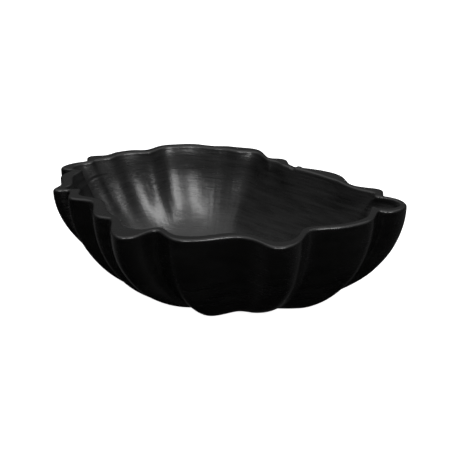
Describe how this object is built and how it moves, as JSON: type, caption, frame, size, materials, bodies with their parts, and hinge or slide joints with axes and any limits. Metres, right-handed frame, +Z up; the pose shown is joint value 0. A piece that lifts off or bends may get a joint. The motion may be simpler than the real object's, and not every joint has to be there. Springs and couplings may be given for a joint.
{
  "type": "scalloped wooden bowl",
  "caption": "Deep oval bowl carved from one block of black-stained wood, with an uneven scalloped rim, ribbed outside and fluted hollow.",
  "frame": {"origin": "on the table, under the middle of the bowl's bounding box", "axes": "+X along the bowl's length, towards its single pointed lobe; +Y away from its deepest-lobed side; +Z up"},
  "size_m": [0.4091, 0.26, 0.123],
  "materials": {
    "wood": "black stain under a satin wax, grain lightly raised, rim edges rubbed a little lighter"
  },
  "bodies": {
    "root": {"bowl": "wood"}
  },
  "joints": []
}
